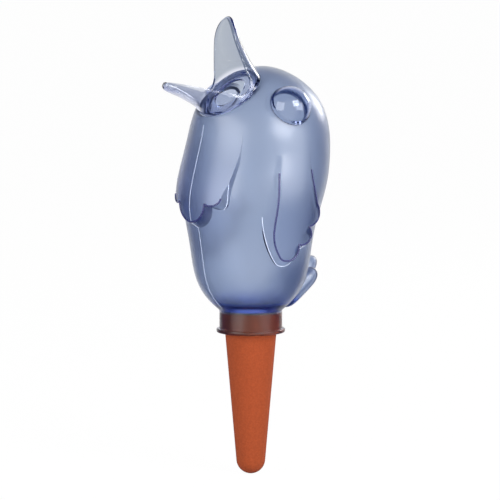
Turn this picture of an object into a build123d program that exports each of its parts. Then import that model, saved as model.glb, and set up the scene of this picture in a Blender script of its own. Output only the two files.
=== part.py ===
"""Bird-shaped watering globe: a translucent reservoir with an open beak, on a hollow clay spike.

Millimetres and degrees. Z = 0 is the soil line on the spike's axis, +Z is up, the bird faces -Y
and its left side is +X.
"""

from build123d import *
import math
import os

# Clay spike
spike_depth = 79.0  # soil line to tip
spike_radius = 14.2  # outside, at the soil line
spike_tip_radius = 8.0
spike_wall = 4.0
spike_head_height = 10.8  # the part inside the neck
spike_clearance = 0.35  # round the head, in the neck

# Seal between the spike's rim and the neck's shoulder
seal_thickness = 1.5
seal_margin = 0.4  # the seal stays this far inside the rim's outer edge

# Neck and flange of the reservoir
neck_wall = 1.8
flange_overhang = 1.6
flange_thickness = 2.2
flange_round = 0.7
shoulder_thickness = 4.6  # floor of the reservoir, over the seal
inlet_radius = 10.4  # hole in that floor

# Body of the bird: radius and height of its round sections, and how far the upper ones lie back
shell_wall = 2.0
hip_radius = 25.4
hip_height = 20.6
flank_radius = 31.3
flank_height = 34.0
belly_radius = 34.5
belly_height = 54.0
breast_radius = 38.5
breast_height = 72.0
breast_set_back = 0.8
shoulder_radius = 40.0
shoulder_height = 89.0
shoulder_set_back = 3.6
head_radius = 39.3
head_height = 103.0
head_set_back = 5.4
crown_fullness = 0.86  # power of the crown's curve, 1 is an ellipse
crown_narrowing = 1.25  # how fast the crown narrows towards the mouth
crown_turns = (24.0, 46.0, 67.0)  # places of the sections between the head and the mouth

# Brow: the round line that the crown runs up to, just outside the mouth
brow_radius = 19.3
brow_y = -17.0
brow_z = 134.1

# Mouth: a round rim on the front of the crown, facing forward and up
mouth_radius = 18.5
mouth_y = -13.8
mouth_z = 131.9
mouth_tilt = 43.0
mouth_rim = 2.0  # thickness of the wall that the beak plugs into

# Beak: a flat web with the filling hole, between an upper and a lower blade
beak_wall = 1.5
beak_web = 1.2
beak_clearance = 0.1
spigot_setback = 2.2  # from the mouth's edge to the spigot
throat_radius = 10.0
gape_foot = 2.0  # lowest point of the gape, over the mouth's edge
gape_bend = 0.16  # share of a blade's length that the rounded corner of the gape takes
upper_length = 32.0  # along the mouth's axis
upper_root = 3.3  # from the mouth's axis to the blade's edge, at the mouth
upper_reach = 25.8  # from the mouth's axis to the tip
upper_curl = 4.6  # how much of that reach is the tip's curl
upper_taper = 0.62
lower_length = 34.0
lower_root = 1.9
lower_reach = 25.8
lower_curl = 0.0
lower_taper = 0.5
curl_power = 8  # a higher power keeps the curl nearer the tip
blade_tip_depth = 6.5
blade_tip_power = 12  # a higher power makes the tip blunter
blade_tip_least = 0.3  # the least half width of the inside
blade_places = (0.0, 0.2, 0.4, 0.6, 0.8, 0.92, 0.975, 0.995)  # sections along a blade

# Eyes: clear domes in round sockets
eye_radius = 11.6
eye_dome_radius = 12.0
eye_wall = 1.6
eye_socket_depth = 2.4
eye_ledge = 1.6
eye_clearance = 0.1
eye_y = 3.0
eye_z = 126.5

# Feathered reliefs on the body
relief_foot = 14.0  # from the bird's middle, well inside the shell
relief_peak = 75.0  # height of the point that the edges of a relief lean to

# Wing, drawn from the side as (y, z)
wing_relief = 3.2
wing_full_at = 66.0  # height below which the relief is full
wing_fades_at = 100.0  # height at which it runs out in the body
wing_front_edge = ((-9.0, 107.0), (-15.5, 88.0), (-17.4, 72.0), (-15.5, 56.5), (-9.2, 42.6))
wing_feathers = (((-3.5, 39.3), (1.6, 41.0)), ((9.0, 48.4), (14.4, 52.6)), ((15.0, 59.4), (19.4, 63.0)))
wing_notches = ((3.2, 47.6), (10.0, 57.4))
wing_rear_edge = ((15.5, 71.0), (11.5, 79.5), (9.0, 107.0))
wing_peak = (22.0, 85.0)

# Bib on the breast, its left half drawn from the front as (x, z)
bib_relief = 3.8
bib_full_at = 74.0
bib_fades_at = 111.0
bib_side_edge = ((22.3, 118.0), (25.2, 103.0), (24.7, 93.0), (22.4, 76.0))
bib_side_end = (18.5, 70.4)
bib_notch = (13.6, 70.6)
bib_middle_end = (0.0, 57.6)
bib_peak = (0.0, 88.0)

# Tail: a middle feather between two side feathers
tail_radius = 5.2
tail_bluntness = 4  # a higher even power makes the ends blunter
tail_root_x = 5.0
tail_root_y = 17.0
tail_root_z = 14.0
tail_tip_y = 44.5
tail_tip_z = 38.6
tail_side_x = 9.0
tail_side_y = 38.0
tail_side_z = 33.0
tail_places = (-0.9, -0.6, -0.2, 0.2, 0.6, 0.85, 0.95, 0.99)  # sections from a feather's root to its tip

# Sizes that follow from these
tip_drop = spike_depth - spike_tip_radius
tip_share = spike_tip_radius / math.hypot(spike_radius, tip_drop)
spike_taper = math.acos(tip_share) - math.atan2(tip_drop, spike_radius)
spike_head_radius = spike_radius + spike_head_height * math.tan(spike_taper)
neck_height = spike_head_height + seal_thickness
neck_bore = spike_head_radius + spike_clearance
neck_radius = neck_bore + neck_wall
floor_height = neck_height + shoulder_thickness
mouth = Plane(
    origin=(0, mouth_y, mouth_z),
    x_dir=(1, 0, 0),
    z_dir=(0, -math.sin(math.radians(mouth_tilt)), math.cos(math.radians(mouth_tilt))),
)
upper_form = (upper_length, upper_root, upper_reach, upper_curl, upper_taper)
lower_form = (lower_length, lower_root, lower_reach, lower_curl, lower_taper)
gape_middle = (upper_root - lower_root) / 2
spigot_radius = mouth_radius - spigot_setback
reach = 3 * (mouth_z + spike_depth)  # longer than the whole bird, for cutting blocks
STAND = (Align.CENTER, Align.CENTER, Align.MIN)  # a solid that stands on its plane


def level(radius, height, set_back=0.0):
    """Front point, back point and half width of a level round section of the body."""
    return Vector(0, set_back - radius, height), Vector(0, set_back + radius, height), radius


def tilted(radius, y, z):
    """Front point, back point and half width of a round section that is tilted like the mouth."""
    middle = Vector(0, y, z)
    return middle - mouth.y_dir * radius, middle + mouth.y_dir * radius, radius


def crown_section(turn):
    """A section between the head and the brow, fanned out by a turn of 0 to 90 degrees."""
    head_front, head_back, _ = level(head_radius, head_height, head_set_back)
    brow_front, brow_back, _ = tilted(brow_radius, brow_y, brow_z)
    along = math.cos(math.radians(turn)) ** crown_fullness
    up = math.sin(math.radians(turn)) ** crown_fullness
    narrow = math.cos(math.radians(turn)) ** crown_narrowing
    back = Vector(
        0,
        brow_back.Y + (head_back.Y - brow_back.Y) * along,
        head_back.Z + (brow_back.Z - head_back.Z) * up,
    )
    front = head_front + (brow_front - head_front) * up
    return front, back, brow_radius + (head_radius - brow_radius) * narrow


def ring(section, grow=0.0):
    """The ellipse of a section, grown or shrunk all round, which starts on the bird's right."""
    front, back, half_width = section
    across = back - front
    plane = Plane(origin=(front + back) * 0.5, x_dir=(-1, 0, 0), z_dir=Vector(1, 0, 0).cross(across))
    return plane * Ellipse(half_width + grow, across.length / 2 + grow)


lower_sections = [
    level(hip_radius, hip_height),
    level(flank_radius, flank_height),
    level(belly_radius, belly_height),
    level(breast_radius, breast_height, breast_set_back),
    level(shoulder_radius, shoulder_height, shoulder_set_back),
    level(head_radius, head_height, head_set_back),
]
crown_sections = [crown_section(turn) for turn in crown_turns]
body_sections = lower_sections + crown_sections
mouth_section = tilted(mouth_radius, mouth_y, mouth_z)


def body_outside():
    """The plain egg of the body, from the neck to the mouth."""
    sections = [level(neck_radius, neck_height)] + body_sections + [mouth_section]
    return loft([ring(section) for section in sections])


def body_cavity():
    """The space inside: it stops at the floor over the neck and under the rim of the mouth."""
    rise = (floor_height - neck_height) / (hip_height - neck_height)
    floor_radius = neck_radius + (hip_radius - neck_radius) * rise
    lid = mouth.offset(-mouth_rim).origin
    sections = [level(floor_radius, floor_height)] + body_sections + [tilted(mouth_radius, lid.Y, lid.Z)]
    return loft([ring(section, -shell_wall) for section in sections])


def relief_skin(relief, full_at, fades_at):
    """The body's egg, grown by a relief that is full low down and dips into the body further up."""
    rings = []
    for section in body_sections:
        share = (fades_at - section[0].Z) / (fades_at - full_at)
        rings.append(ring(section, relief * min(max(share, -1.0), 1.0)))
    return loft(rings)


def wing_outline():
    """A wing from the side, with three feathers."""
    stops = [wing_front_edge[-1], *wing_notches, wing_rear_edge[0]]
    edges = [Spline(wing_front_edge)]
    for start, feather, stop in zip(stops, wing_feathers, stops[1:]):
        edges.append(Spline(start, *feather, stop))
    edges.append(Spline(wing_rear_edge))
    edges.append(Line(wing_rear_edge[-1], wing_front_edge[0]))
    return make_face(edges)


def bib_outline():
    """The breast feathers from the front: two side lobes and a longer middle one."""

    def at(point, side):
        return side * point[0], point[1]

    edges = [ThreePointArc(at(bib_notch, 1), bib_middle_end, at(bib_notch, -1))]
    for side in (1, -1):
        edges.append(Spline([at(point, side) for point in bib_side_edge]))
        lobe = (bib_side_edge[-1], bib_side_end, bib_notch)
        edges.append(ThreePointArc([at(point, side) for point in lobe]))
    edges.append(Line(at(bib_side_edge[0], 1), at(bib_side_edge[0], -1)))
    return make_face(edges)


def sloped_block(outline, plane, relief, peak):
    """A block on a plane, straight from its foot inside the shell and sloped where it comes out."""
    knee = belly_radius - relief / 2
    top = plane.offset(relief_peak).from_local_coords((*peak, 0))
    straight = extrude(plane.offset(relief_foot) * outline, knee - relief_foot)
    return straight + loft([plane.offset(knee) * outline, Vertex(top)], ruled=True)


def wing():
    """The left wing, with a sloped leading edge."""
    block = sloped_block(wing_outline(), Plane.YZ, wing_relief, wing_peak)
    return block & relief_skin(wing_relief, wing_full_at, wing_fades_at)


def bib():
    """The bib on the breast."""
    block = sloped_block(bib_outline(), Plane.XZ, bib_relief, bib_peak)
    return block & relief_skin(bib_relief, bib_full_at, bib_fades_at)


def petal(root, tip, inset, places):
    """A long round tail feather from its root to its tip, or the smaller space inside it."""
    half_length = (tip - root).length / 2 - inset
    rings = []
    for place in places:
        radius = (tail_radius - inset) * math.sqrt(1 - place**tail_bluntness)
        rings.append(Pos(0, 0, place * half_length) * Circle(radius))
    return Plane(origin=(root + tip) * 0.5, z_dir=tip - root).location * loft(rings)


def tail(inset, places):
    """The middle tail feather and the lower one on its left, or the space inside them."""
    middle_root = Vector(0, tail_root_y, tail_root_z)
    middle_tip = Vector(0, tail_tip_y, tail_tip_z)
    side_root = Vector(tail_root_x, tail_root_y, tail_root_z)
    side_tip = Vector(tail_side_x, tail_side_y, tail_side_z)
    return petal(middle_root, middle_tip, inset, places) + petal(side_root, side_tip, inset, places)


def neck():
    """The collar round the spike's head, with its flange at the soil line."""
    collar = Cylinder(neck_radius, neck_height, align=STAND)
    flange = Cylinder(neck_radius + flange_overhang, flange_thickness, align=STAND)
    flange = fillet(flange.edges(), flange_round)
    return collar + flange


def neck_space():
    """The socket for the spike's head and the hole through the floor above it."""
    socket = Cylinder(neck_bore, neck_height, align=STAND)
    inlet = Pos(0, 0, neck_height) * Cylinder(inlet_radius, shoulder_thickness, align=STAND)
    return socket + inlet


def eye_seat(body):
    """The plane on the left of the head where the eye looks out."""
    skin = max(body.faces(), key=lambda face: face.area)
    hits = skin.find_intersection_points(Axis((0, eye_y, eye_z), (1, 0, 0)))
    point, normal = max(hits, key=lambda hit: hit[0].X)
    return Plane(origin=point, z_dir=normal if normal.X > 0 else -normal)


def left_half(body, seat):
    """The left half of the reservoir, split down the bird's middle."""
    ledge_foot = -eye_socket_depth - eye_ledge
    boss = Pos(0, 0, ledge_foot) * Cylinder(eye_radius + shell_wall, eye_radius, align=STAND)
    pocket = Pos(0, 0, -eye_socket_depth) * Cylinder(eye_radius + eye_clearance, eye_radius, align=STAND)
    window = Cylinder(eye_radius - eye_ledge, 2 * eye_radius)
    mouth_hole = Cylinder(spigot_radius + beak_clearance, 4 * mouth_rim)
    solid = body + neck()
    solid += tail(0, tail_places)
    solid += bib()
    solid += wing()
    solid &= Pos(reach / 2, 0, 0) * Box(reach, reach, reach)
    solid -= body_cavity() - seat.location * boss
    solid -= tail(shell_wall, tail_places[1:])
    solid -= neck_space()
    solid -= seat.location * pocket
    solid -= seat.location * window
    solid -= mouth.location * mouth_hole
    return solid


def edge_out(place, form):
    """How far a blade's edge is out from the mouth's axis, at a place from its root to its tip."""
    _, root, tip_reach, curl, _ = form
    return root + (tip_reach - root - curl) * place + curl * place**curl_power


def blade(form, inset):
    """A full tapering horn on the mouth's plane, or the smaller space inside it."""
    length, root, _, _, taper = form
    root_depth = mouth_radius - root
    rings = []
    for place in blade_places:
        close = math.sqrt(1 - place**blade_tip_power)
        half_width = mouth_radius * (1 - taper * place) * close
        depth = (blade_tip_depth + (root_depth - blade_tip_depth) * (1 - place) ** 2) * close
        spot = Pos(0, edge_out(place, form), length * place) * Rot(0, 0, 90)
        half_width = max(half_width - inset, blade_tip_least)
        depth = max(depth - inset, blade_tip_least)
        rings.append(spot * Ellipse(depth, half_width))
    return loft(rings)


def outer_half(form):
    """The hollow half of a horn on its own side of the gape, still on the upper blade's side."""
    side = gape_middle if form is upper_form else -gape_middle
    own_side = Pos(0, side, 0) * Box(reach, reach, reach, align=(Align.CENTER, Align.MIN, Align.CENTER))
    return (blade(form, 0) - blade(form, beak_wall)) & own_side


def blade_edge(form):
    """Points on the edge of a blade from the side, from the corner of the gape to the tip."""
    steps = len(blade_places)
    places = [gape_bend + (1 - gape_bend) * step / steps for step in range(steps + 1)]
    return [(edge_out(place, form), form[0] * place) for place in places]


def gape():
    """The open space between the blades, right across the beak, round at its corners."""
    upper_edge = blade_edge(upper_form)
    lower_edge = [(-out, along) for out, along in blade_edge(lower_form)]
    edge = Spline(lower_edge[::-1] + [(gape_middle, gape_foot)] + upper_edge)
    high = upper_length + lower_length
    outside = Polyline(upper_edge[-1], (upper_reach, high), (-lower_reach, high), lower_edge[-1])
    return extrude(Plane.YZ * make_face([edge, outside]), 2 * mouth_radius, both=True)


def beak():
    """The web that plugs into the mouth, with the two open blades."""
    web_profile = Polyline(
        (mouth_radius, 0),
        (mouth_radius, beak_web),
        (throat_radius, beak_web),
        (throat_radius, 0),
        (spigot_radius - beak_wall, 0),
        (spigot_radius - beak_wall, -mouth_rim),
        (spigot_radius, -mouth_rim),
        (spigot_radius, 0),
        close=True,
    )
    web = revolve(Plane.XZ * make_face(web_profile), Axis.Z)
    upper = outer_half(upper_form) - gape()
    lower = mirror(outer_half(lower_form), about=Plane.XZ) - gape()
    return mouth.location * (web + upper + lower)


def eye_dome(seat):
    """A clear hollow dome with a short skirt that stands on the socket's ledge."""
    sink = math.sqrt(eye_dome_radius**2 - eye_radius**2)
    skirt = Pos(0, 0, -eye_socket_depth) * Cylinder(eye_radius, eye_socket_depth, align=STAND)
    above = Box(reach, reach, reach, align=STAND)
    dome = (Pos(0, 0, -sink) * Sphere(eye_dome_radius)) & above
    inside = (Pos(0, 0, -sink) * Sphere(eye_dome_radius - eye_wall)) & above
    hollow_radius = math.sqrt((eye_dome_radius - eye_wall) ** 2 - sink**2)
    hollow = Pos(0, 0, -eye_socket_depth) * Cylinder(hollow_radius, eye_socket_depth, align=STAND)
    return seat.location * (skirt + dome - inside - hollow)


def tip_point(turn, tip_radius):
    """A point on the spike's round tip, a turn below the level."""
    return Vector(tip_radius * math.cos(turn), -tip_drop - tip_radius * math.sin(turn))


def taper_profile(rim_radius, tip_radius):
    """Half section of the spike from its rim to its round tip, closed on the axis."""
    down = math.pi / 2
    rim = Vector(rim_radius, spike_head_height)
    middle = Vector(0, spike_head_height)
    side_end = tip_point(spike_taper, tip_radius)
    tip = tip_point(down, tip_radius)
    side = Line(rim, side_end)
    end = ThreePointArc(side_end, tip_point((spike_taper + down) / 2, tip_radius), tip)
    return Plane.XZ * make_face([side, end, Line(tip, middle), Line(middle, rim)])


def spike():
    """The fired clay spike: a tapered tube with a round closed tip and a straight head."""
    head = Cylinder(spike_head_radius, spike_head_height, align=STAND)
    outside = revolve(taper_profile(spike_head_radius, spike_tip_radius), Axis.Z) + head
    wall_across = spike_wall / math.cos(spike_taper)
    inside = revolve(taper_profile(spike_head_radius - wall_across, spike_tip_radius - spike_wall), Axis.Z)
    return outside - inside


def seal():
    """The flat ring that closes the joint between the spike's rim and the floor."""
    outer = Cylinder(spike_head_radius - seal_margin, seal_thickness, align=STAND)
    hole = Cylinder(inlet_radius, seal_thickness, align=STAND)
    return Pos(0, 0, spike_head_height) * (outer - hole)


def main():
    """Makes every piece and writes it to its own file."""
    os.makedirs("parts", exist_ok=True)
    body = body_outside()
    seat = eye_seat(body)
    shell = left_half(body, seat)
    eye = eye_dome(seat)
    pieces = {
        "left_shell": shell,
        "right_shell": mirror(shell, about=Plane.YZ),
        "beak_funnel": beak(),
        "left_eye": eye,
        "right_eye": mirror(eye, about=Plane.YZ),
        "cone_seal": seal(),
        "clay_cone": spike(),
    }
    for name, piece in pieces.items():
        export_step(piece, f"parts/{name}.step")


main()
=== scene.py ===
"""Looks of the bird-shaped watering globe, in metres and in the frame of its CAD solids.

Z = 0 is the soil line on the spike's axis, +Z is up, the bird faces -Y and its left side is +X.
"""

import logging
import math
from dataclasses import dataclass, field, replace
from enum import Enum

import bpy
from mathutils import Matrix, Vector

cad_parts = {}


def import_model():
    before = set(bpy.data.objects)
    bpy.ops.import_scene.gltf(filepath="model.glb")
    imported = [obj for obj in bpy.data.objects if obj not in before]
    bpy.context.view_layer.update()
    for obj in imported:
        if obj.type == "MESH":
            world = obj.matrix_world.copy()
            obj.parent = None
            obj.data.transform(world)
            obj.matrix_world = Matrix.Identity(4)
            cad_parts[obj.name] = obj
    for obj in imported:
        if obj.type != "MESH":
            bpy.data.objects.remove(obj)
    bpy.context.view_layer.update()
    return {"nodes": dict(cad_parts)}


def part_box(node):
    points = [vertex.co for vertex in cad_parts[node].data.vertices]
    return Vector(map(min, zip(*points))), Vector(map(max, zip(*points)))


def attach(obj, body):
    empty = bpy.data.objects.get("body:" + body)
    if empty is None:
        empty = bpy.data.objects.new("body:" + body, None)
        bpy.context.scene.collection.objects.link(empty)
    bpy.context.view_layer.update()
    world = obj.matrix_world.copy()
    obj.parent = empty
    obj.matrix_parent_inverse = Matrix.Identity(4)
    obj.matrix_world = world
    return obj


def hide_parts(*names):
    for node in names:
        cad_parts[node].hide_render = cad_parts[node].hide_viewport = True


log = logging.getLogger("watering_globe")

Triple = tuple[float, float, float]
Colour = Triple
Socket = bpy.types.NodeSocket


class Piece(Enum):
    """CAD nodes of the watering globe."""

    LEFT_SHELL = "left_shell"
    RIGHT_SHELL = "right_shell"
    BEAK = "beak_funnel"
    LEFT_EYE = "left_eye"
    RIGHT_EYE = "right_eye"
    SEAL = "cone_seal"
    SPIKE = "clay_cone"


class Element(Enum):
    """Kinds of mesh element that can be picked."""

    POINT = "VERT"
    EDGE = "EDGE"
    FACE = "FACE"


class Combining(Enum):
    """Ways to work out one shader value from two."""

    PRODUCT = "MULTIPLY"
    LARGER = "MAXIMUM"


@dataclass(frozen=True)
class Noise:
    """A noise texture: features per metre, number of finer layers, and their strength."""

    scale: float
    detail: float
    rough: float


class NodeTree:
    """Short calls for building a shader or a shader group."""

    noise_low = 0.3
    noise_high = 0.7

    def __init__(self, tree: bpy.types.NodeTree) -> None:
        """Keeps the tree that the nodes go into."""
        self.tree = tree

    def add(self, kind: str, **values: object) -> bpy.types.Node:
        """Adds a node and sets its own values.

        Args:
            kind: The node's type name.
            **values: Properties of the node.

        Returns:
            The new node.
        """
        node = self.tree.nodes.new(kind)
        for name, value in values.items():
            setattr(node, name, value)
        return node

    def join(self, source: Socket, target: Socket) -> None:
        """Links an output to an input."""
        self.tree.links.new(source, target)

    def place(self) -> Socket:
        """Returns the point on the piece, in the part's frame."""
        return self.add("ShaderNodeTexCoord").outputs["Object"]

    def noise(self, look: Noise, place: Socket) -> bpy.types.Node:
        """Adds a noise texture.

        Args:
            look: Its size and strength.
            place: Coordinates to read.

        Returns:
            The noise node.
        """
        node = self.add("ShaderNodeTexNoise")
        node.inputs["Scale"].default_value = look.scale
        node.inputs["Detail"].default_value = look.detail
        node.inputs["Roughness"].default_value = look.rough
        self.join(place, node.inputs["Vector"])
        return node

    def spread(self, value: Socket, low: float, high: float) -> Socket:
        """Maps the usual span of a noise onto a range.

        Args:
            value: The noise's value.
            low: Result at the span's start.
            high: Result at its end.

        Returns:
            The mapped value.
        """
        node = self.add("ShaderNodeMapRange")
        node.inputs["From Min"].default_value = self.noise_low
        node.inputs["From Max"].default_value = self.noise_high
        node.inputs["To Min"].default_value = low
        node.inputs["To Max"].default_value = high
        self.join(value, node.inputs["Value"])
        return node.outputs["Result"]

    def change(self, value: Socket, start: float, end: float, before: float, after: float) -> Socket:
        """Goes smoothly from one number to another.

        Args:
            value: The value to read.
            start: Where the change starts.
            end: Where it ends.
            before: Result up to the start.
            after: Result past the end.

        Returns:
            The changing number.
        """
        node = self.add("ShaderNodeMapRange", interpolation_type="SMOOTHSTEP")
        node.inputs["From Min"].default_value = start
        node.inputs["From Max"].default_value = end
        node.inputs["To Min"].default_value = before
        node.inputs["To Max"].default_value = after
        self.join(value, node.inputs["Value"])
        return node.outputs["Result"]

    def combine(self, way: Combining, first: Socket, second: Socket) -> Socket:
        """Works out one value from two.

        Args:
            way: How they are combined.
            first: The first value.
            second: The second value.

        Returns:
            The result.
        """
        node = self.add("ShaderNodeMath", operation=way.value)
        self.join(first, node.inputs[0])
        self.join(second, node.inputs[1])
        return node.outputs["Value"]

    def along(self, point: Socket, way: Triple) -> Socket:
        """Measures a point along a direction.

        Args:
            point: The point.
            way: The direction, of length 1.

        Returns:
            The distance.
        """
        node = self.add("ShaderNodeVectorMath", operation="DOT_PRODUCT")
        self.join(point, node.inputs[0])
        node.inputs[1].default_value = way
        return node.outputs["Value"]

    def blend(self, share: Socket, first: Colour, second: Colour) -> Socket:
        """Mixes two plain colours.

        Args:
            share: 0 for the first colour, 1 for the second.
            first: Linear colour.
            second: Linear colour.

        Returns:
            The mixed colour.
        """
        node = self.mix(share, second)
        self.colour_input(node, "A").default_value = (*first, 1.0)
        return self.colour_of(node)

    def blend_over(self, share: Socket, first: Socket, second: Colour) -> Socket:
        """Mixes a plain colour over one that another node gives.

        Args:
            share: 0 for the first colour, 1 for the second.
            first: The colour below.
            second: Linear colour.

        Returns:
            The mixed colour.
        """
        node = self.mix(share, second)
        self.join(first, self.colour_input(node, "A"))
        return self.colour_of(node)

    def mix(self, share: Socket, second: Colour) -> bpy.types.Node:
        """Adds a colour mix.

        Args:
            share: 0 for the first colour, 1 for the second.
            second: Linear colour.

        Returns:
            The mix, whose first colour isn't set yet.
        """
        node = self.add("ShaderNodeMix", data_type="RGBA")
        self.colour_input(node, "B").default_value = (*second, 1.0)
        factors = [socket for socket in node.inputs if socket.name == "Factor" and socket.enabled]
        self.join(share, factors[0])
        return node

    def colour_input(self, node: bpy.types.Node, name: str) -> Socket:
        """Returns the colour input of a mix that has this name."""
        return [socket for socket in node.inputs if socket.name == name and socket.type == "RGBA"][0]

    def colour_of(self, node: bpy.types.Node) -> Socket:
        """Returns the colour output of a mix."""
        return [socket for socket in node.outputs if socket.type == "RGBA"][0]


class FootZones:
    """Shader group for the reservoir's foot: the neck, and the thick, deeper blue floor over it."""

    name = "foot_zones"
    low = 0.0120
    high = 0.0178
    soft = 0.0006

    def build(self) -> bpy.types.NodeTree:
        """Makes the group.

        Returns:
            The group's node tree, with the outputs Floor and Neck, which are 1 there.
        """
        group = bpy.data.node_groups.new(self.name, "ShaderNodeTree")
        group.interface.new_socket("Floor", in_out="OUTPUT", socket_type="NodeSocketFloat")
        group.interface.new_socket("Neck", in_out="OUTPUT", socket_type="NodeSocketFloat")
        nodes = NodeTree(group)
        outside = nodes.add("NodeGroupOutput")
        parts = nodes.add("ShaderNodeSeparateXYZ")
        nodes.join(nodes.place(), parts.inputs["Vector"])
        height = parts.outputs["Z"]
        neck_top = (self.low - self.soft, self.low + self.soft)
        floor_top = (self.high - self.soft, self.high + self.soft)
        over = nodes.change(height, *neck_top, before=0.0, after=1.0)
        under = nodes.change(height, *floor_top, before=1.0, after=0.0)
        nodes.join(nodes.combine(Combining.PRODUCT, over, under), outside.inputs["Floor"])
        nodes.join(nodes.change(height, *neck_top, before=1.0, after=0.0), outside.inputs["Neck"])
        return group


class MouthZones:
    """Shader group for the beak: its root, which is clearer, and the thinner lower blade."""

    name = "mouth_zones"
    middle = (0.0, -0.0138, 0.1319)
    tilt = math.radians(43.0)
    root_height = 0.0026
    root_soft = 0.0016
    lower_side = -0.0040
    lower_soft = 0.0030

    def build(self) -> bpy.types.NodeTree:
        """Makes the group.

        Returns:
            The group's node tree, with the outputs Root and Lower, which are 1 there.
        """
        group = bpy.data.node_groups.new(self.name, "ShaderNodeTree")
        group.interface.new_socket("Root", in_out="OUTPUT", socket_type="NodeSocketFloat")
        group.interface.new_socket("Lower", in_out="OUTPUT", socket_type="NodeSocketFloat")
        nodes = NodeTree(group)
        outside = nodes.add("NodeGroupOutput")
        apart = nodes.add("ShaderNodeVectorMath", operation="SUBTRACT")
        nodes.join(nodes.place(), apart.inputs[0])
        apart.inputs[1].default_value = self.middle
        out = nodes.along(apart.outputs["Vector"], (0.0, -math.sin(self.tilt), math.cos(self.tilt)))
        up = nodes.along(apart.outputs["Vector"], (0.0, math.cos(self.tilt), math.sin(self.tilt)))
        root_end = (self.root_height - self.root_soft, self.root_height + self.root_soft)
        lower_end = (self.lower_side - self.lower_soft, self.lower_side + self.lower_soft)
        nodes.join(nodes.change(out, *root_end, before=1.0, after=0.0), outside.inputs["Root"])
        nodes.join(nodes.change(up, *lower_end, before=1.0, after=0.0), outside.inputs["Lower"])
        return group


class MouldedSurface:
    """Shader group for what a mould leaves on plastic: slow unevenness and a faint grain."""

    name = "moulded_surface"
    slow = Noise(40.0, 1.0, 0.4)
    grain = Noise(900.0, 2.0, 0.5)
    grain_share = 0.08

    def build(self) -> bpy.types.NodeTree:
        """Makes the group.

        Returns:
            The group's node tree, with the outputs Tone and Height.
        """
        group = bpy.data.node_groups.new(self.name, "ShaderNodeTree")
        group.interface.new_socket("Slow Scale", in_out="INPUT", socket_type="NodeSocketFloat")
        group.interface.new_socket("Grain Scale", in_out="INPUT", socket_type="NodeSocketFloat")
        group.interface.new_socket("Tone", in_out="OUTPUT", socket_type="NodeSocketFloat")
        group.interface.new_socket("Height", in_out="OUTPUT", socket_type="NodeSocketFloat")
        nodes = NodeTree(group)
        inside = nodes.add("NodeGroupInput")
        outside = nodes.add("NodeGroupOutput")
        place = nodes.place()
        slow = nodes.noise(self.slow, place)
        grain = nodes.noise(self.grain, place)
        nodes.join(inside.outputs["Slow Scale"], slow.inputs["Scale"])
        nodes.join(inside.outputs["Grain Scale"], grain.inputs["Scale"])
        height = nodes.add("ShaderNodeMath", operation="MULTIPLY_ADD")
        height.inputs[1].default_value = self.grain_share
        nodes.join(grain.outputs["Fac"], height.inputs[0])
        nodes.join(slow.outputs["Fac"], height.inputs[2])
        nodes.join(slow.outputs["Fac"], outside.inputs["Tone"])
        nodes.join(height.outputs["Value"], outside.inputs["Height"])
        return group


class Finish:
    """What all finishes share."""

    name: str

    def start(self) -> tuple[bpy.types.Material, NodeTree, bpy.types.Node]:
        """Makes the finish's material.

        Returns:
            The material, its node tree and its main shader.
        """
        material = bpy.data.materials.new(self.name)
        material.use_nodes = True
        return material, NodeTree(material.node_tree), material.node_tree.nodes["Principled BSDF"]

    def add_bump(self, nodes: NodeTree, height: Socket, strength: float, depth: float) -> None:
        """Makes the surface uneven.

        Args:
            nodes: The material's tree.
            height: The unevenness.
            strength: Its strength.
            depth: Its depth.
        """
        bump = nodes.add("ShaderNodeBump")
        bump.inputs["Strength"].default_value = strength
        bump.inputs["Distance"].default_value = depth
        nodes.join(height, bump.inputs["Height"])
        nodes.join(bump.outputs["Normal"], nodes.tree.nodes["Principled BSDF"].inputs["Normal"])


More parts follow.
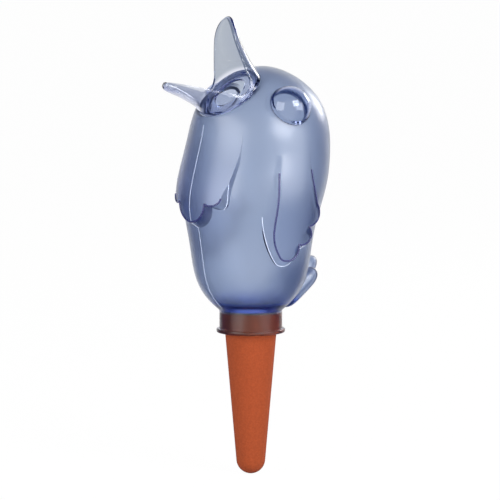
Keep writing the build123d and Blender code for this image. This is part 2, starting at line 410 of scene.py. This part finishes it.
@dataclass(frozen=True)
class ClearPlasticFinish(Finish):
    """See-through plastic, whose colour deepens with the thickness that light crosses."""

    name: str
    tint: Colour
    deep_tint: Colour
    roughness: tuple[float, float]
    absorbed: Colour
    density: float
    floor_tint: Colour | None = None
    neck_tint: Colour | None = None
    lower_tint: Colour | None = None
    root_tint: Colour | None = None
    slow_scale: float = 35.0
    grain_scale: float = 900.0
    bump: float = 0.05
    bump_depth: float = 0.0004
    index: float = 1.46
    coat: float = 0.0

    def build(self, surface: bpy.types.NodeTree) -> bpy.types.Material:
        """Makes the material.

        Args:
            surface: The moulded surface group.

        Returns:
            The new material.
        """
        material, nodes, shader = self.start()
        mould = nodes.add("ShaderNodeGroup", node_tree=surface)
        mould.inputs["Slow Scale"].default_value = self.slow_scale
        mould.inputs["Grain Scale"].default_value = self.grain_scale
        tone = mould.outputs["Tone"]
        nodes.join(self.colour(nodes, tone), shader.inputs["Base Color"])
        nodes.join(nodes.spread(tone, *self.roughness), shader.inputs["Roughness"])
        self.add_bump(nodes, mould.outputs["Height"], self.bump, self.bump_depth)
        shader.inputs["IOR"].default_value = self.index
        shader.inputs["Coat Weight"].default_value = self.coat
        shader.inputs["Transmission Weight"].default_value = 1.0
        volume = nodes.add("ShaderNodeVolumeAbsorption")
        volume.inputs["Color"].default_value = (*self.absorbed, 1.0)
        volume.inputs["Density"].default_value = self.density
        nodes.join(volume.outputs["Volume"], material.node_tree.nodes["Material Output"].inputs["Volume"])
        return material

    def colour(self, nodes: NodeTree, tone: Socket) -> Socket:
        """Mixes the plastic's own colour, with its zones where it has them.

        Args:
            nodes: The material's tree.
            tone: The slow unevenness of the surface.

        Returns:
            The colour.
        """
        colour = nodes.blend(nodes.spread(tone, 0.0, 1.0), self.tint, self.deep_tint)
        if self.floor_tint is not None and self.neck_tint is not None:
            foot = nodes.add("ShaderNodeGroup", node_tree=FootZones().build())
            colour = nodes.blend_over(foot.outputs["Floor"], colour, self.floor_tint)
            colour = nodes.blend_over(foot.outputs["Neck"], colour, self.neck_tint)
        if self.lower_tint is not None and self.root_tint is not None:
            mouth = nodes.add("ShaderNodeGroup", node_tree=MouthZones().build())
            colour = nodes.blend_over(mouth.outputs["Lower"], colour, self.lower_tint)
            colour = nodes.blend_over(mouth.outputs["Root"], colour, self.root_tint)
        return colour


@dataclass(frozen=True)
class FiredClayFinish(Finish):
    """Unglazed terracotta with a fine open grain."""

    name: str = "fired_clay"
    pale: Colour = (0.238, 0.042, 0.0105)
    dark: Colour = (0.172, 0.030, 0.0070)
    cloud: Noise = Noise(950.0, 4.0, 0.7)
    grain: Noise = Noise(1500.0, 3.0, 0.6)
    roughness: tuple[float, float] = (0.78, 0.95)
    gloss: float = 0.2
    bump: float = 0.25
    bump_depth: float = 0.0003

    def build(self) -> bpy.types.Material:
        """Makes the material.

        Returns:
            The new material.
        """
        material, nodes, shader = self.start()
        place = nodes.place()
        cloud = nodes.noise(self.cloud, place).outputs["Fac"]
        grain = nodes.noise(self.grain, place).outputs["Fac"]
        colour = nodes.blend(nodes.spread(cloud, 0.0, 1.0), self.dark, self.pale)
        nodes.join(colour, shader.inputs["Base Color"])
        nodes.join(nodes.spread(grain, *self.roughness), shader.inputs["Roughness"])
        shader.inputs["Specular IOR Level"].default_value = self.gloss
        self.add_bump(nodes, grain, self.bump, self.bump_depth)
        return material


@dataclass(frozen=True)
class CloudyFinish(Finish):
    """An opaque finish with two shades in soft clouds."""

    name: str
    pale: Colour
    dark: Colour
    cloud: Noise
    roughness: tuple[float, float]

    def build(self) -> bpy.types.Material:
        """Makes the material.

        Returns:
            The new material.
        """
        material, nodes, shader = self.start()
        cloud = nodes.noise(self.cloud, nodes.place()).outputs["Fac"]
        colour = nodes.blend(nodes.spread(cloud, 0.0, 1.0), self.dark, self.pale)
        nodes.join(colour, shader.inputs["Base Color"])
        nodes.join(nodes.spread(cloud, *self.roughness), shader.inputs["Roughness"])
        return material


@dataclass(frozen=True)
class SealRubberFinish(CloudyFinish):
    """Dark rubber with a dusty bloom."""

    name: str = "seal_rubber"
    pale: Colour = (0.045, 0.045, 0.048)
    dark: Colour = (0.020, 0.020, 0.022)
    cloud: Noise = Noise(260.0, 3.0, 0.5)
    roughness: tuple[float, float] = (0.55, 0.75)


@dataclass(frozen=True)
class LineFinish(CloudyFinish):
    """The opaque plastic of a fine line on the shell. Its given colours paint highlight on the pale lines
    and shade on the dark ones, and its clouds are painted shading, because the line is not flat.
    """

    cloud: Noise = Noise(180.0, 2.0, 0.5)
    roughness: tuple[float, float] = (0.25, 0.4)


@dataclass
class Finishes:
    """All materials of the watering globe."""

    satin: bpy.types.Material = field(init=False)
    clear: bpy.types.Material = field(init=False)
    eye: bpy.types.Material = field(init=False)
    step: bpy.types.Material = field(init=False)
    weld: bpy.types.Material = field(init=False)
    crease: bpy.types.Material = field(init=False)
    clay: bpy.types.Material = field(init=False)
    rubber: bpy.types.Material = field(init=False)

    def __post_init__(self) -> None:
        """Builds the shared surface and each material once."""
        surface = MouldedSurface().build()
        satin = ClearPlasticFinish(
            name="satin_plastic",
            tint=(0.62, 0.682, 0.785),
            deep_tint=(0.59, 0.662, 0.775),
            roughness=(0.28, 0.34),
            absorbed=(0.05, 0.18, 0.66),
            density=45.0,
            floor_tint=(0.26, 0.36, 0.86),
            neck_tint=(0.96, 0.94, 0.95),
        )
        # A darker copy of the satin plastic, painted as shade on the feathers' steep sides that look down
        # or back.
        step = replace(
            satin,
            name="painted_shade_step_plastic",
            tint=(0.30, 0.35, 0.60),
            deep_tint=(0.27, 0.32, 0.58),
            density=60.0,
            floor_tint=None,
            neck_tint=None,
        )
        clear = ClearPlasticFinish(
            name="clear_plastic",
            tint=(0.53, 0.57, 0.60),
            deep_tint=(0.51, 0.555, 0.59),
            roughness=(0.03, 0.06),
            absorbed=(0.10, 0.18, 0.80),
            density=75.0,
            lower_tint=(0.70, 0.73, 0.77),
            root_tint=(0.92, 0.94, 0.97),
            index=1.18,
            coat=0.5,
        )
        eye = ClearPlasticFinish(
            name="eye_plastic",
            tint=(0.62, 0.68, 0.78),
            deep_tint=(0.60, 0.665, 0.77),
            roughness=(0.0, 0.01),
            absorbed=(0.08, 0.20, 0.75),
            density=90.0,
        )
        self.satin = satin.build(surface)
        self.step = step.build(surface)
        self.clear = clear.build(surface)
        self.eye = eye.build(surface)
        # Pale opaque plastic for the seam bead and the feathers' feet: on the real seam bead its paleness
        # is painted highlight; on the feet it is painted highlight alone.
        self.weld = LineFinish("weld_and_highlight_plastic", (0.56, 0.62, 0.76), (0.44, 0.51, 0.68)).build()
        # Near-black blue plastic for the lines on the feathers' outer edges: painted shade.
        self.crease = LineFinish("painted_shade_line_plastic", (0.030, 0.032, 0.115), (0.020, 0.022, 0.090)).build()
        self.clay = FiredClayFinish().build()
        self.rubber = SealRubberFinish().build()


class Bench:
    """Short calls for working on one mesh at a time."""

    @staticmethod
    def take(piece: bpy.types.Object) -> None:
        """Selects one object alone and makes it active.

        Args:
            piece: The object.
        """
        bpy.ops.object.select_all(action="DESELECT")
        piece.select_set(True)
        bpy.context.view_layer.objects.active = piece

    @staticmethod
    def pick_none(kind: Element) -> None:
        """Clears the selection of the active mesh before some of it is picked.

        Args:
            kind: What will be picked.
        """
        bpy.ops.object.mode_set(mode="EDIT")
        bpy.ops.mesh.select_mode(type=kind.value)
        bpy.ops.mesh.select_all(action="DESELECT")
        bpy.ops.object.mode_set(mode="OBJECT")

    @staticmethod
    def delete_picked(kind: Element) -> None:
        """Deletes what is picked of the active mesh.

        Args:
            kind: What is picked.
        """
        bpy.ops.object.mode_set(mode="EDIT")
        bpy.ops.mesh.delete(type=kind.value)
        bpy.ops.object.mode_set(mode="OBJECT")

    @staticmethod
    def face_out() -> None:
        """Turns all faces of the active mesh outwards."""
        bpy.ops.object.mode_set(mode="EDIT")
        bpy.ops.mesh.select_all(action="SELECT")
        bpy.ops.mesh.normals_make_consistent(inside=False)
        bpy.ops.object.mode_set(mode="OBJECT")


@dataclass(frozen=True)
class FeatherZone:
    """The parts of the shell that the wings and the bib stand on."""

    low: float = 0.0370
    high: float = 0.1060
    wing_side: float = 0.0270
    bib_front: float = -0.0250
    skin_least: float = 0.0300
    wing_foot: float = 0.0329
    bib_foot: float = -0.0326
    foot_reach: float = 0.0001
    steep: float = 0.5
    shaded: float = 0.2

    def on_foot(self, ends: list[Vector]) -> bool:
        """Tells whether an edge is where the slope of a wing or of the bib starts.

        Args:
            ends: The edge's two ends.

        Returns:
            True for an edge on a foot.
        """
        on_wing = all(abs(abs(end.x) - self.wing_foot) < self.foot_reach for end in ends)
        on_bib = all(abs(end.y - self.bib_foot) < self.foot_reach for end in ends)
        return on_wing or on_bib

    def holds(self, point: Vector) -> bool:
        """Tells whether a point is on the outside of a wing or the bib.

        Args:
            point: A point of the shell.

        Returns:
            True for a point on a wing or the bib.
        """
        if not self.low < point.z < self.high or math.hypot(point.x, point.y) < self.skin_least:
            return False
        return abs(point.x) > self.wing_side or point.y < self.bib_front

    def steps_out(self, face: bpy.types.MeshPolygon) -> bool:
        """Tells whether a face is a steep side of a feather that looks down or back, where the darker
        plastic is painted as shade.

        Args:
            face: A face of the shell.

        Returns:
            True for such a side of a feather.
        """
        outward = Vector((face.center.x, face.center.y, 0.0)).normalized()
        looks_away = face.normal.z < -self.shaded or face.normal.y > self.shaded
        return self.holds(face.center) and looks_away and abs(face.normal.dot(outward)) < self.steep


@dataclass
class BirdShell:
    """The bird's skin: both halves welded into one, so that light crosses the seam."""

    half: bpy.types.Object
    name: str = "bird_shell"
    merge_reach: float = 0.000002
    seam_reach: float = 0.00001
    neck_top: float = 0.0124
    bore_radius: float = 0.01549
    bore_reach: float = 0.00006
    bore_contact: float = 0.0151
    crease: float = math.radians(32.0)
    zone: FeatherZone = FeatherZone()

    def build(self, material: bpy.types.Material, step: bpy.types.Material) -> bpy.types.Object:
        """Makes the skin from a copy of the left half.

        Args:
            material: The plastic of the skin.
            step: The darker plastic painted as shade on the feathers' steep sides that look down or back.

        Returns:
            The finished piece.
        """
        shell = self.copy_half()
        self.open_seam(shell)
        self.mirror_half(shell)
        self.close_neck(shell)
        Bench.face_out()
        bpy.ops.object.shade_smooth_by_angle(angle=self.crease)
        shell.data.materials.clear()
        shell.data.materials.append(material)
        shell.data.materials.append(step)
        # The feathers' steep sides that look down or back take the darker plastic: painted shade.
        for face in shell.data.polygons:
            face.material_index = int(self.zone.steps_out(face))
        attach(shell, "reservoir")
        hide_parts(Piece.LEFT_SHELL.value, Piece.RIGHT_SHELL.value)
        log.info("built %s with %d faces", shell.name, len(shell.data.polygons))
        return shell

    def copy_half(self) -> bpy.types.Object:
        """Copies the left half at its place and merges its loose triangles.

        Returns:
            The copy, active and selected.
        """
        mesh = self.half.data.copy()
        mesh.transform(self.half.matrix_world)
        shell = bpy.data.objects.new(self.name, mesh)
        bpy.context.collection.objects.link(shell)
        Bench.take(shell)
        bpy.ops.object.mode_set(mode="EDIT")
        bpy.ops.mesh.customdata_custom_splitnormals_clear()
        bpy.ops.mesh.select_all(action="SELECT")
        bpy.ops.mesh.remove_doubles(threshold=self.merge_reach)
        bpy.ops.object.mode_set(mode="OBJECT")
        return shell

    def open_seam(self, shell: bpy.types.Object) -> None:
        """Takes away the faces on which the two halves meet.

        Args:
            shell: The left half, active and selected.
        """
        Bench.pick_none(Element.FACE)
        points = shell.data.vertices
        for face in shell.data.polygons:
            face.select = all(abs(points[index].co.x) < self.seam_reach for index in face.vertices)
        Bench.delete_picked(Element.FACE)

    def mirror_half(self, shell: bpy.types.Object) -> None:
        """Makes the right half and joins it to the left one.

        Args:
            shell: The left half, active and selected.
        """
        mirror = shell.modifiers.new("other_half", "MIRROR")
        mirror.use_mirror_merge = True
        mirror.merge_threshold = self.seam_reach
        bpy.ops.object.modifier_apply(modifier=mirror.name)

    def close_neck(self, shell: bpy.types.Object) -> None:
        """Draws the neck's bore in until it touches the clay head inside it.

        Args:
            shell: The whole skin, active and selected.
        """
        Bench.pick_none(Element.POINT)
        for point in shell.data.vertices:
            wide = math.hypot(point.co.x, point.co.y)
            in_bore = abs(wide - self.bore_radius) < self.bore_reach
            point.select = in_bore and point.co.z < self.neck_top
        bpy.ops.object.mode_set(mode="EDIT")
        share = self.bore_contact / self.bore_radius
        bpy.ops.transform.resize(value=(share, share, 1.0), center_override=(0.0, 0.0, 0.0))
        bpy.ops.object.mode_set(mode="OBJECT")


@dataclass
class SurfaceLine:
    """A fine round line along chosen edges of the shell."""

    shell: bpy.types.Object
    name: str
    radius: float
    roundness: int = 1

    def keeps(self) -> list[bool]:
        """Tells for each edge of the shell whether the line runs along it."""
        raise NotImplementedError

    def build(self, material: bpy.types.Material) -> bpy.types.Object:
        """Makes the line from a copy of the shell.

        Args:
            material: The finish of the line.

        Returns:
            The finished piece.
        """
        kept = self.keeps()
        Bench.take(self.shell)
        bpy.ops.object.duplicate()
        line = bpy.context.object
        line.name = self.name
        Bench.pick_none(Element.EDGE)
        for edge, keep in zip(line.data.edges, kept):
            edge.select = not keep
        Bench.delete_picked(Element.EDGE)
        bpy.ops.object.convert(target="CURVE")
        curve = bpy.context.object.data
        curve.bevel_depth = self.radius
        curve.bevel_resolution = self.roundness
        curve.use_fill_caps = True
        bpy.ops.object.convert(target="MESH")
        line = bpy.context.object
        Bench.face_out()
        bpy.ops.object.shade_smooth()
        line.data.materials.clear()
        line.data.materials.append(material)
        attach(line, "reservoir")
        log.info("built %s along %d edges", line.name, sum(kept))
        return line


@dataclass
class SeamBead(SurfaceLine):
    """The raised bead along the front and the back of the shell, where its halves meet, made pale as a
    painted highlight along it.
    """

    name: str = "seam_bead"
    radius: float = 0.00013
    seam_reach: float = 0.00001
    lowest: float = 0.0126
    front_top: float = 0.1175
    back_low: float = 0.0470
    facing: float = 0.25

    def keeps(self) -> list[bool]:
        """Finds the outside of the seam.

        Returns:
            For each edge of the shell, whether the bead runs along it.
        """
        mesh = self.shell.data
        return [
            all(self.on_seam(mesh.vertices[index]) for index in edge.vertices) for edge in mesh.edges
        ]

    def on_seam(self, point: bpy.types.MeshVertex) -> bool:
        """Tells whether a point is on the outside of the seam, clear of the tail and the mouth.

        Args:
            point: A point of the shell.

        Returns:
            True for a point that the bead runs through.
        """
        if abs(point.co.x) > self.seam_reach or point.co.z < self.lowest:
            return False
        if point.co.y < 0.0:
            return point.normal.y < -self.facing and point.co.z < self.front_top
        return point.normal.y > self.facing and point.co.z > self.back_low


@dataclass
class FeatherShadeLines(SurfaceLine):
    """Dark lines along the outer edges of the wings and the bib: painted shade where these edges look
    dark.
    """

    name: str = "feather_shade_lines"
    radius: float = 0.00050
    least_turn: float = math.radians(22.0)
    wing_high: float = 0.0930
    bib_high: float = 0.0780
    zone: FeatherZone = FeatherZone()

    def keeps(self) -> list[bool]:
        """Finds the chosen edges that stand out of a feather.

        Returns:
            For each edge of the shell, whether the line runs along it.
        """
        mesh = self.shell.data
        sides: dict[tuple[int, int], list[bpy.types.MeshPolygon]] = {}
        for face in mesh.polygons:
            for key in face.edge_keys:
                sides.setdefault(key, []).append(face)
        points = mesh.vertices
        return [
            self.chooses([points[index].co for index in edge.vertices])
            and self.stands_out(sides[edge.key])
            for edge in mesh.edges
        ]

    def chooses(self, ends: list[Vector]) -> bool:
        """Tells whether an edge is on the lower part of a feather and clear of its foot.

        Args:
            ends: The edge's two ends.

        Returns:
            True for an edge that the line may run along.
        """
        on_bib = all(abs(end.x) < self.zone.wing_side for end in ends)
        top = self.bib_high if on_bib else self.wing_high
        return all(end.z < top for end in ends) and not self.zone.on_foot(ends)

    def stands_out(self, faces: list[bpy.types.MeshPolygon]) -> bool:
        """Tells whether two faces meet in an edge that stands out of a feather.

        Args:
            faces: The two faces.

        Returns:
            True for such an edge.
        """
        first, second = faces
        if not self.zone.holds(first.center):
            return False
        turn = first.normal.angle(second.normal, 0.0)
        return turn > self.least_turn and (second.center - first.center).dot(first.normal) < 0.0


@dataclass
class FeatherFootHighlights(FeatherShadeLines):
    """Pale lines where the slope of a feather starts, just over the skin: painted highlight along the
    foot.
    """

    name: str = "feather_foot_highlights"
    radius: float = 0.00018

    def chooses(self, ends: list[Vector]) -> bool:
        """Tells whether an edge is on a feather's foot.

        Args:
            ends: The edge's two ends.

        Returns:
            True for an edge on a foot.
        """
        return self.zone.on_foot(ends)


@dataclass
class Reservoir:
    """The bird: its shell, the beak and the eyes."""

    nodes: dict[str, bpy.types.Object]

    def dress(self, finishes: Finishes) -> None:
        """Gives the reservoir's pieces their plastics.

        Args:
            finishes: All materials.
        """
        shell = BirdShell(self.nodes[Piece.LEFT_SHELL.value]).build(finishes.satin, finishes.step)
        # The real seam bead, coloured pale as a painted highlight.
        SeamBead(shell).build(finishes.weld)
        # Dark lines of painted shade along the feathers' outer edges.
        FeatherShadeLines(shell).build(finishes.crease)
        # Pale lines of painted highlight on the feathers' feet.
        FeatherFootHighlights(shell).build(finishes.weld)
        dress_node(self.nodes[Piece.BEAK.value], finishes.clear)
        for piece in (Piece.LEFT_EYE, Piece.RIGHT_EYE):
            dress_node(self.nodes[piece.value], finishes.eye)


@dataclass
class Foot:
    """The clay spike and the seal on its rim."""

    nodes: dict[str, bpy.types.Object]

    def dress(self, finishes: Finishes) -> None:
        """Gives the spike its clay and the seal its rubber."""
        dress_node(self.nodes[Piece.SPIKE.value], finishes.clay)
        dress_node(self.nodes[Piece.SEAL.value], finishes.rubber)


def dress_node(node: bpy.types.Object, material: bpy.types.Material) -> None:
    """Puts a material on a CAD node.

    Args:
        node: The CAD node's object.
        material: The material for all of it.
    """
    for slot in node.material_slots:
        slot.material = material
    log.info("dressed %s in %s", node.name, material.name)


@dataclass(frozen=True)
class Softbox:
    """A square lamp that faces the bird, and shows through the plastic only if through is set."""

    name: str
    place: Triple
    size: float
    watts: float
    through: bool

    def hang(self, aim: Vector) -> None:
        """Hangs the lamp.

        Args:
            aim: The point that it faces.
        """
        lamp = bpy.data.lights.new(self.name, "AREA")
        lamp.shape = "SQUARE"
        lamp.size = self.size
        lamp.energy = self.watts
        holder = bpy.data.objects.new(self.name, lamp)
        bpy.context.collection.objects.link(holder)
        holder.location = self.place
        holder.visible_transmission = self.through
        holder.rotation_euler = (aim - holder.location).to_track_quat("-Z", "Y").to_euler()


@dataclass
class Studio:
    """Floor, light and camera, at the photograph's angle."""

    floor_height: float
    azimuth: float = 53.0
    elevation: float = 6.0
    distance: float = 1.66
    frame_width: float = 0.275
    target_height: float = 0.0453
    target_right: float = -0.00044
    farthest: float = 100.0
    floor_size: float = 80.0
    floor_colour: Colour = (0.92, 0.92, 0.92)
    floor_rough: float = 0.9
    floor_glow: float = 0.98
    paper_turn: float = -3.0
    paper_edge: float = 0.56
    paper_full: float = 0.86
    room_colour: Colour = (0.045, 0.080, 0.260)
    white: Colour = (1.0, 1.0, 1.0)
    light_level: float = 0.40
    lamp_aim: float = 0.08
    lamps: tuple[Softbox, ...] = (
        Softbox("key_softbox", (1.0, 0.05, 0.60), 0.6, 12.0, through=True),
        Softbox("wing_softbox", (1.10, 0.43, 0.22), 0.9, 11.0, through=True),
        Softbox("fill_softbox", (0.1, -1.1, 0.28), 0.9, 15.0, through=False),
        Softbox("rim_softbox", (-0.25, 1.15, 0.50), 0.4, 5.0, through=False),
    )

    def view_direction(self) -> Vector:
        """Works out where the camera stands.

        Returns:
            The way from the object to the camera, of length 1.
        """
        turn = math.radians(self.azimuth)
        rise = math.radians(self.elevation)
        level = math.cos(rise)
        return Vector((math.sin(turn) * level, -math.cos(turn) * level, math.sin(rise)))

    def right_direction(self) -> Vector:
        """Returns the way that is right in the camera's picture."""
        turn = math.radians(self.azimuth)
        return Vector((math.cos(turn), math.sin(turn), 0.0))

    def build(self) -> None:
        """Makes the whole set."""
        self.make_world()
        self.make_floor()
        for lamp in self.lamps:
            lamp.hang(Vector((0.0, 0.0, self.lamp_aim)))
        self.make_camera()
        bpy.context.scene.view_settings.view_transform = "Standard"

    def make_world(self) -> None:
        """Makes the surround: soft light, and white paper and a dim room to be seen."""
        world = bpy.data.worlds.new("studio_white")
        world.use_nodes = True
        bpy.context.scene.world = world
        nodes = NodeTree(world.node_tree)
        back = world.node_tree.nodes["Background"]
        around = nodes.add("ShaderNodeTexCoord").outputs["Generated"]
        seen = self.seen_share(nodes)
        unseen = nodes.add("ShaderNodeMath", operation="SUBTRACT")
        unseen.inputs[0].default_value = 1.0
        nodes.join(seen, unseen.inputs[1])
        white = nodes.combine(Combining.LARGER, self.paper_share(nodes, around), unseen.outputs["Value"])
        nodes.join(nodes.blend(white, self.room_colour, self.white), back.inputs["Color"])
        strength = nodes.add("ShaderNodeMapRange")
        strength.inputs["To Min"].default_value = self.light_level
        strength.inputs["To Max"].default_value = 1.0
        nodes.join(seen, strength.inputs["Value"])
        nodes.join(strength.outputs["Result"], back.inputs["Strength"])

    def paper_share(self, nodes: NodeTree, direction: Socket) -> Socket:
        """Tells the white paper behind the bird and behind the camera from the dim room beside them.

        Args:
            nodes: The tree to build in.
            direction: The way from the bird to the place looked at.

        Returns:
            A socket that is 1 on the paper, and wherever the camera looks straight at the set.
        """
        turn = math.radians(self.azimuth + self.paper_turn)
        unit = nodes.add("ShaderNodeVectorMath", operation="NORMALIZE")
        nodes.join(direction, unit.inputs[0])
        ahead = nodes.along(unit.outputs["Vector"], (-math.sin(turn), math.cos(turn), 0.0))
        either_way = nodes.add("ShaderNodeMath", operation="ABSOLUTE")
        nodes.join(ahead, either_way.inputs[0])
        paper = nodes.change(
            either_way.outputs["Value"], self.paper_edge, self.paper_full, before=0.0, after=1.0
        )
        straight = nodes.add("ShaderNodeLightPath").outputs["Is Camera Ray"]
        return nodes.combine(Combining.LARGER, paper, straight)

    def seen_share(self, nodes: NodeTree) -> Socket:
        """Tells what the camera sees, straight, mirrored or through glass, from light.

        Args:
            nodes: The tree to build in.

        Returns:
            A socket that is 1 for what is seen and 0 for light.
        """
        path = nodes.add("ShaderNodeLightPath").outputs
        mirrored = nodes.combine(Combining.LARGER, path["Is Camera Ray"], path["Is Glossy Ray"])
        return nodes.combine(Combining.LARGER, mirrored, path["Is Transmission Ray"])

    def make_floor(self) -> None:
        """Makes a pale floor that the spike's tip stands on."""
        bpy.ops.object.select_all(action="DESELECT")
        bpy.ops.mesh.primitive_plane_add(size=self.floor_size, location=(0.0, 0.0, self.floor_height))
        floor = bpy.context.object
        floor.name = "studio_floor"
        bpy.ops.object.transform_apply(location=True, rotation=False, scale=False)
        floor.data.materials.append(self.floor_material())

    def floor_material(self) -> bpy.types.Material:
        """Makes the floor's material, which takes a shadow and looks as white as the paper.

        Returns:
            The new material.
        """
        material = bpy.data.materials.new("studio_floor")
        material.use_nodes = True
        nodes = NodeTree(material.node_tree)
        shader = material.node_tree.nodes["Principled BSDF"]
        shader.inputs["Base Color"].default_value = (*self.floor_colour, 1.0)
        shader.inputs["Roughness"].default_value = self.floor_rough
        shader.inputs["Specular IOR Level"].default_value = 0.0
        glow = nodes.add("ShaderNodeEmission")
        shown = nodes.blend(self.paper_share(nodes, nodes.place()), self.room_colour, self.white)
        nodes.join(shown, glow.inputs["Color"])
        share = nodes.add("ShaderNodeMath", operation="MULTIPLY")
        nodes.join(self.seen_share(nodes), share.inputs[0])
        share.inputs[1].default_value = self.floor_glow
        mix = nodes.add("ShaderNodeMixShader")
        nodes.join(share.outputs["Value"], mix.inputs["Fac"])
        nodes.join(shader.outputs["BSDF"], mix.inputs[1])
        nodes.join(glow.outputs["Emission"], mix.inputs[2])
        nodes.join(mix.outputs["Shader"], material.node_tree.nodes["Material Output"].inputs["Surface"])
        return material

    def make_camera(self) -> None:
        """Places a long-lens camera that frames the bird as the photograph does."""
        data = bpy.data.cameras.new("camera")
        data.sensor_fit = "HORIZONTAL"
        data.angle = 2 * math.atan(self.frame_width / 2 / self.distance)
        data.clip_end = self.farthest
        camera = bpy.data.objects.new("camera", data)
        bpy.context.collection.objects.link(camera)
        target = Vector((0.0, 0.0, self.target_height)) + self.right_direction() * self.target_right
        camera.location = target + self.view_direction() * self.distance
        camera.rotation_euler = (-self.view_direction()).to_track_quat("-Z", "Y").to_euler()
        bpy.context.scene.camera = camera


def main() -> None:
    """Dresses the CAD frame and sets the studio."""
    logging.basicConfig(level=logging.INFO, format="%(name)s: %(message)s")
    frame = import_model()
    finishes = Finishes()
    Reservoir(frame["nodes"]).dress(finishes)
    Foot(frame["nodes"]).dress(finishes)
    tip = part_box(Piece.SPIKE.value)[0]
    Studio(floor_height=float(tip[2])).build()


if __name__ == "__main__":
    main()
